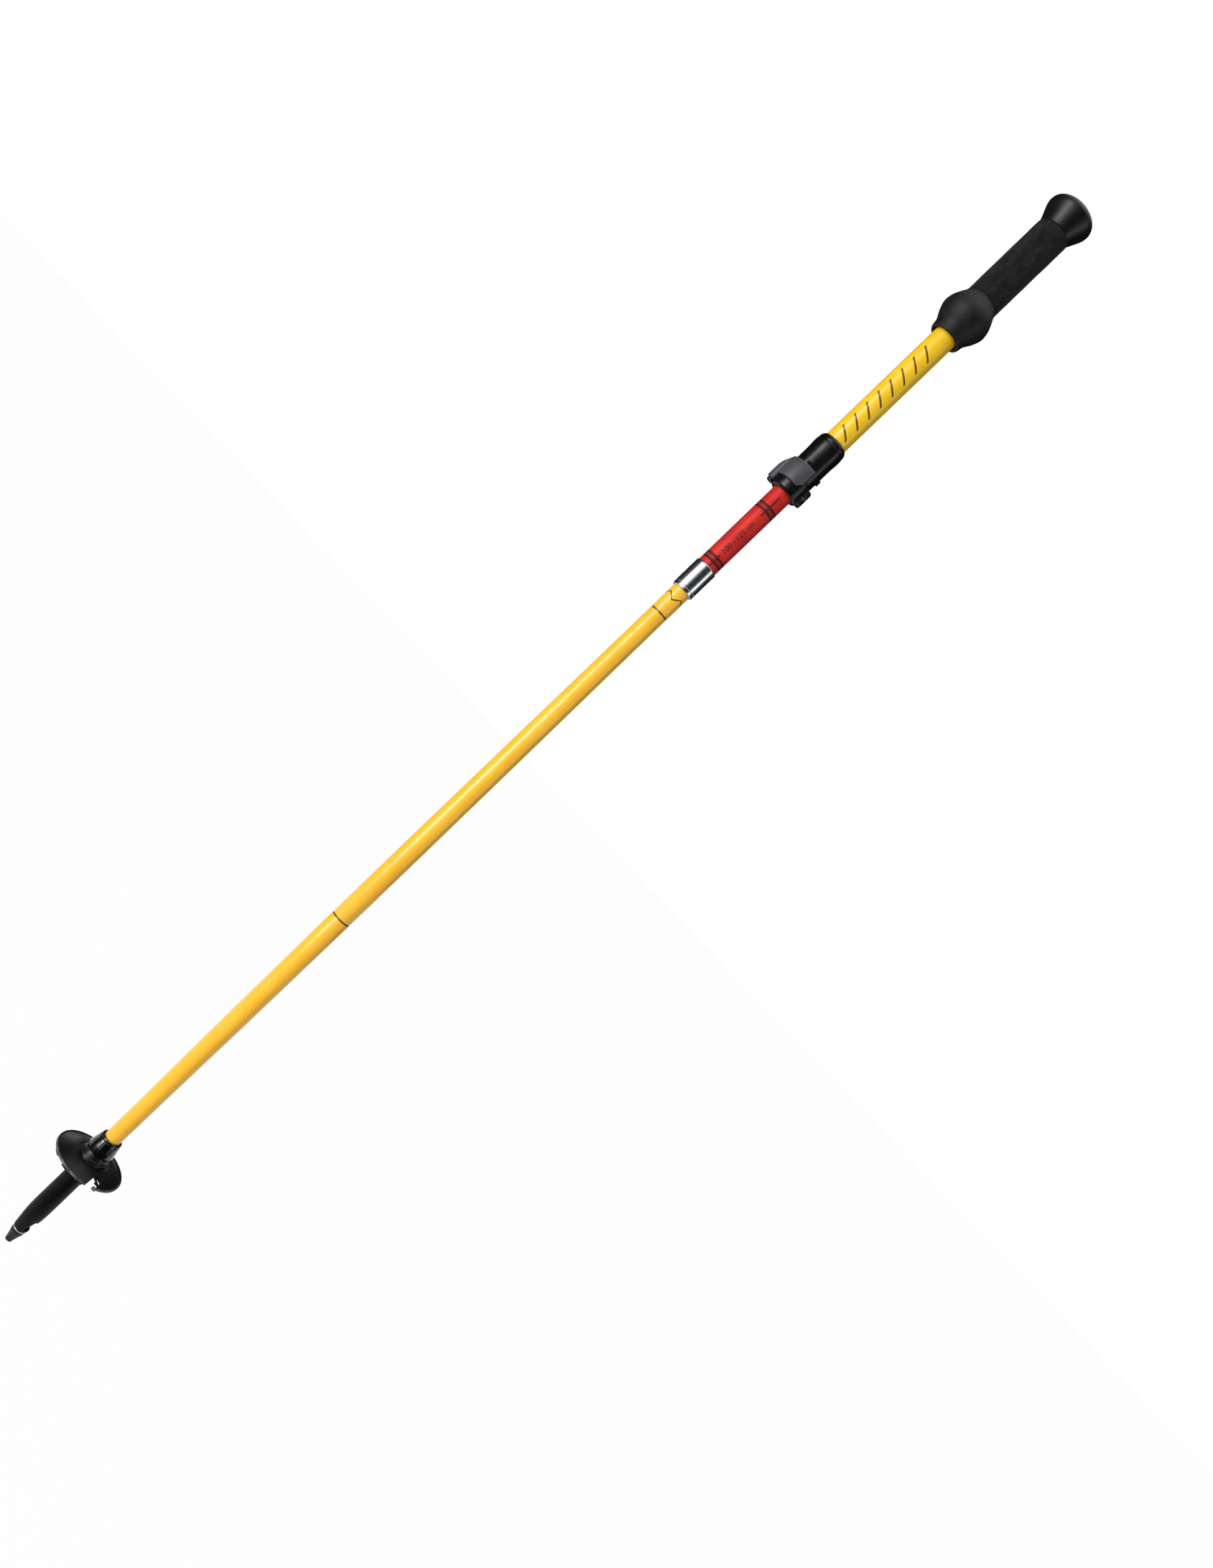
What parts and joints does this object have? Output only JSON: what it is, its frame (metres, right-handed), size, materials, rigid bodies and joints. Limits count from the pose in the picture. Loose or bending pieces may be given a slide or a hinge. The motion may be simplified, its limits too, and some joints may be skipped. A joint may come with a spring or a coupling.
{
  "type": "folding trekking pole",
  "caption": "Folding, telescoping trekking pole with a long foam grip, lever lock, size-ringed red section, polished fold sleeve, tapering yellow shaft, notched basket and plastic tip.",
  "frame": {"origin": "on the pole's axis, halfway up the foam handle, where the hand holds it", "axes": "+Z along the pole from the tip to the grip, -Y towards the side that the lock's lever wraps, +X towards the clamp screw"},
  "size_m": [0.055, 0.055, 1.0334],
  "materials": {
    "yellow_paint": "satin",
    "red_anodised": "satin",
    "black_plastic": "satin",
    "gloss_black": "gloss",
    "grey_plastic": "satin",
    "foam": "matte",
    "grip_rubber": "matte",
    "polished_sleeve": "polished",
    "steel": "satin",
    "dark_steel": "satin",
    "bare_aluminium": "satin",
    "white_nylon": "matte",
    "cord_cover": "matte"
  },
  "bodies": {
    "handle": {"grip_cap": "black_plastic", "grip_foam": "foam", "grip_guard": "grip_rubber", "tube_plug": "black_plastic", "upper_tube": "yellow_paint", "lock_body": "black_plastic", "lock_collar": "black_plastic", "lever_pin": "steel", "pressure_shoe": "white_nylon", "clamp_nut": "dark_steel"},
    "lever": {"lock_lever": "grey_plastic"},
    "clamp_screw": {"clamp_screw": "dark_steel"},
    "extension": {"adjusting_tube": "red_anodised", "guide_bush": "white_nylon", "joint_sleeve": "polished_sleeve", "joint_stub": "yellow_paint", "tension_spring": "steel"},
    "button": {"release_button": "black_plastic", "button_spring": "steel"},
    "middle": {"middle_tube": "yellow_paint", "middle_ferrule": "bare_aluminium"},
    "lower": {"lower_tube": "yellow_paint", "lower_ferrule": "bare_aluminium", "tension_cord": "cord_cover", "cord_anchor": "white_nylon", "cord_stop": "white_nylon", "basket_collar": "gloss_black", "basket": "black_plastic", "tip_body": "black_plastic", "tip_ring": "steel", "tip_cone": "grey_plastic", "carbide_tip": "dark_steel"}
  },
  "joints": [
    {"name": "lever_swing", "type": "hinge", "parent": "handle", "child": "lever", "pos_m": [-0.0129, 0, -0.2125], "axis": [0, 0, -1], "range_deg": [0, 110]},
    {"name": "clamp_screw_turn", "type": "hinge", "parent": "handle", "child": "clamp_screw", "pos_m": [0.0124, 0, -0.21855], "axis": [0, 1, 0], "continuous": true},
    {"name": "length_slide", "type": "slide", "parent": "handle", "child": "extension", "axis": [0, 0, -1], "range_m": [-0.07, 0.12]},
    {"name": "button_press", "type": "slide", "parent": "extension", "child": "button", "axis": [0, -1, 0], "range_m": [0, 0.0015], "stiffness_N_per_m": 1500, "springref_m": -0.001},
    {"name": "upper_pull", "type": "slide", "parent": "extension", "child": "middle", "axis": [0, 0, -1], "range_m": [0, 0.038], "stiffness_N_per_m": 300, "springref_m": -0.06, "deforming": ["tension_spring"]},
    {"name": "lower_pull", "type": "slide", "parent": "middle", "child": "lower", "axis": [0, 0, -1], "range_m": [0, 0.038], "stiffness_N_per_m": 300, "springref_m": -0.06, "deforming": ["tension_spring"]}
  ]
}
